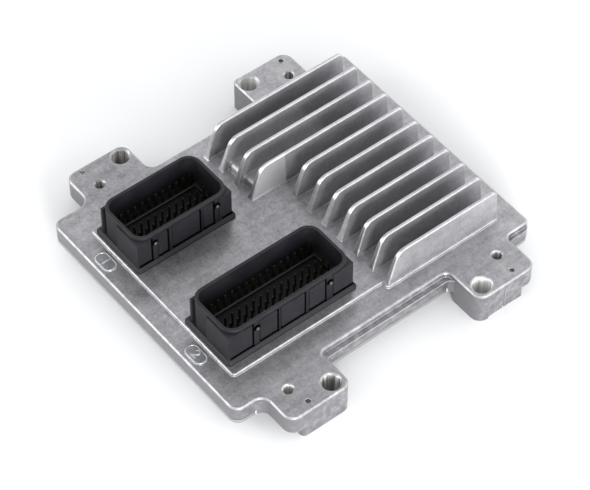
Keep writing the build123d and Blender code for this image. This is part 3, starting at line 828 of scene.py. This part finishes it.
@dataclass(frozen=True)
class NumberPads:
    """The two raised numbers on the front strip, each inside a raised ring. Sizes are in millimetres."""

    finish: bpy.types.Material
    numbers: tuple[str, str] = ("1", "2")
    centres: tuple[Span, Span] = ((-34.9, -81.85), (33.8, -81.85))
    pad_top: float = 17.9
    font_size: float = 6.75
    raise_by: float = 0.35
    figure_bevel: float = 0.12
    ring_size: Span = (11.1, 6.1)
    ring_radius: float = 2.55
    ring_wire: float = 0.24
    corner_steps: int = 6
    bevel_steps: int = 2
    smooth_degrees: float = 35.0

    def _settle(self, name: str, x: float, y: float) -> None:
        """Moves the new piece's points from the origin onto its pad and hands it to the frame.

        Args:
            name: Its name.
            x: The pad's middle along X.
            y: The pad's middle along Y.
        """
        piece = bpy.context.object
        piece.name = name
        piece.data.transform(Matrix.Translation(Vector((x, y, self.pad_top)) * MM))
        piece.data.materials.clear()
        piece.data.materials.append(self.finish)
        bpy.ops.object.shade_smooth_by_angle(angle=math.radians(self.smooth_degrees))
        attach(piece, "root")

    def _ring(self) -> None:
        """Models a ring: a rounded oblong's outline with a round section."""
        width, depth = self.ring_size
        bpy.ops.object.select_all(action="DESELECT")
        bpy.ops.mesh.primitive_plane_add(size=1.0, location=(0.0, 0.0, 0.0))
        bpy.context.object.data.transform(Matrix.Diagonal((width * MM, depth * MM, 1.0, 1.0)))
        bpy.ops.object.mode_set(mode="EDIT")
        bpy.ops.mesh.select_all(action="SELECT")
        bpy.ops.mesh.bevel(offset=self.ring_radius * MM, segments=self.corner_steps, affect="VERTICES")
        bpy.ops.mesh.delete(type="ONLY_FACE")
        bpy.ops.object.mode_set(mode="OBJECT")
        bpy.ops.object.convert(target="CURVE")
        line = bpy.context.object.data
        line.dimensions = "3D"
        line.bevel_depth = self.ring_wire * MM
        line.bevel_resolution = self.bevel_steps
        bpy.ops.object.convert(target="MESH")

    def _figure(self, number: str) -> None:
        """Models a number as raised metal.

        Args:
            number: The number.
        """
        bpy.ops.object.select_all(action="DESELECT")
        bpy.ops.object.text_add(location=(0.0, 0.0, 0.0))
        text = bpy.context.object.data
        text.body = number
        text.align_x = "CENTER"
        text.align_y = "CENTER"
        text.size = self.font_size * MM
        text.extrude = self.raise_by * MM
        text.bevel_depth = self.figure_bevel * MM
        text.bevel_resolution = self.bevel_steps
        bpy.ops.object.convert(target="MESH")

    def build(self) -> None:
        """Models the ring and the number of each pad."""
        for number, (x, y) in zip(self.numbers, self.centres):
            self._ring()
            self._settle(f"number_ring_{number}", x, y)
            self._figure(number)
            self._settle(f"raised_number_{number}", x, y)
            LOG.info("raised number %s on its pad", number)


@dataclass(frozen=True)
class Lamp:
    """A square softbox that looks at the object.

    Attributes:
        name: Its name.
        azimuth: Degrees around +Z, from -Y towards +X.
        elevation: Degrees above the floor.
        away: Its distance in metres.
        size: Its edge in metres.
        power: Its power in watts.
    """

    name: str
    azimuth: float
    elevation: float
    away: float
    size: float
    power: float


@dataclass(frozen=True)
class Studio:
    """The camera at the photograph's angle, the pale floor and the soft light.

    The target and the distance are in millimetres, the floor's edge in metres, the angles in degrees. The
    sky's levels are pairs of a direction's height, from 0 at the horizon to 1 overhead, and its brightness.
    """

    target: Triple = (4.475, -1.893, 7.0)
    distance: float = 1253.39
    azimuth: float = 51.469
    elevation: float = 50.242
    focal_pixels: float = 2676.05
    frame_pixels: float = 590.0
    sensor: float = 36.0
    clip: Span = (0.05, 50.0)
    floor_size: float = 6.0
    floor_tone: Triple = (0.80, 0.80, 0.805)
    floor_fibre: Noise = Noise(900.0, 2.0, 0.5, tone=0.04)
    floor_white: Triple = (1.0, 1.0, 1.0)
    floor_roughness: float = 0.9
    sky_gain: float = 2.03
    sky_tint: Triple = (0.98, 0.99, 1.0)
    sky_lean: Triple = (0.0, 0.1, 0.0)
    sky_levels: tuple[Span, ...] = (
        (0.0, 0.5), (0.16, 1.0), (0.5, 1.0), (0.70, 0.52), (0.84, 0.30), (1.0, 0.24),
    )
    lamps: tuple[Lamp, ...] = (
        Lamp("key", azimuth=68.0, elevation=14.0, away=1.6, size=0.5, power=26.0),
        Lamp("left_rim", azimuth=-33.0, elevation=23.0, away=1.6, size=0.8, power=5.0),
        Lamp("right_rim", azimuth=108.0, elevation=30.0, away=1.6, size=0.6, power=1.6),
    )

    def _way(self, azimuth: float, elevation: float) -> Vector:
        """The direction from the object towards a place on the sky.

        Args:
            azimuth: Degrees around +Z, from -Y towards +X.
            elevation: Degrees above the floor.

        Returns:
            A unit vector.
        """
        a, e = math.radians(azimuth), math.radians(elevation)
        return Vector((math.sin(a) * math.cos(e), -math.cos(a) * math.cos(e), math.sin(e)))

    def camera(self) -> None:
        """Places the camera that was fitted to the photograph."""
        data = bpy.data.cameras.new("camera")
        data.sensor_fit = "HORIZONTAL"
        data.sensor_width = self.sensor
        data.lens = self.sensor * self.focal_pixels / self.frame_pixels
        data.clip_start, data.clip_end = self.clip
        camera = bpy.data.objects.new("camera", data)
        bpy.context.scene.collection.objects.link(camera)
        way = self._way(self.azimuth, self.elevation)
        camera.location = Vector(self.target) * MM + way * self.distance * MM
        camera.rotation_euler = way.to_track_quat("Z", "Y").to_euler()
        bpy.context.scene.camera = camera
        LOG.info("camera %.1f mm lens", data.lens)

    def floor(self) -> None:
        """Lays the plain pale floor."""
        bpy.ops.object.select_all(action="DESELECT")
        bpy.ops.mesh.primitive_plane_add(size=self.floor_size, location=(0.0, 0.0, 0.0))
        plane = bpy.context.object
        plane.name = "floor"
        bench = Bench(Finish.FLOOR)
        fibre = bench.noise(self.floor_fibre) * self.floor_fibre.tone
        tone = bench.mix(fibre, self.floor_tone, self.floor_white)
        plane.data.materials.append(bench.finish(base_color=tone, roughness=self.floor_roughness))

    def hang(self, lamp: Lamp) -> None:
        """Hangs one softbox.

        Args:
            lamp: Its place, size and power.
        """
        data = bpy.data.lights.new(lamp.name, "AREA")
        data.shape = "SQUARE"
        data.size = lamp.size
        data.energy = lamp.power
        box = bpy.data.objects.new(lamp.name, data)
        bpy.context.scene.collection.objects.link(box)
        way = self._way(lamp.azimuth, lamp.elevation)
        box.location = way * lamp.away
        box.rotation_euler = way.to_track_quat("Z", "Y").to_euler()

    def sky(self) -> None:
        """Surrounds the scene with soft light whose brightness changes with height and leans to one side."""
        world = bpy.data.worlds.new("studio")
        bpy.context.scene.world = world
        world.use_nodes = True
        wiring = Wiring(world.node_tree)
        way = wiring.value("ShaderNodeTexCoord", {}, {}, "Generated")
        height = wiring.value("ShaderNodeSeparateXYZ", {}, {0: way}, Axis.Z.value)
        level = wiring.value("ShaderNodeValToRGB", {"stops": self.sky_levels}, {"Fac": height}, "Color")
        lean = wiring.dot(way, self.sky_lean) + 1.0
        background = world.node_tree.nodes["Background"]
        wiring.feed(background.inputs["Color"], self.sky_tint)
        wiring.feed(background.inputs["Strength"], level * lean * self.sky_gain)

    def build(self) -> None:
        """Sets up camera, floor, light and the plain display transform."""
        self.camera()
        self.floor()
        self.sky()
        for lamp in self.lamps:
            self.hang(lamp)
        bpy.context.scene.view_settings.view_transform = "Standard"


def main() -> None:
    """Dresses the unit, adds its raised numbers and sets up the studio."""
    logging.basicConfig(level=logging.INFO, format="%(message)s")
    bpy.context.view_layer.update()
    Studio().build()
    Dresser().dress()
    # The frame has its own even material of the casting's name, and the raised metal keeps that one.
    NumberPads(bpy.data.materials[Finish.CASTING.value]).build()
    LOG.info("sizes written")


if __name__ == "__main__":
    main()
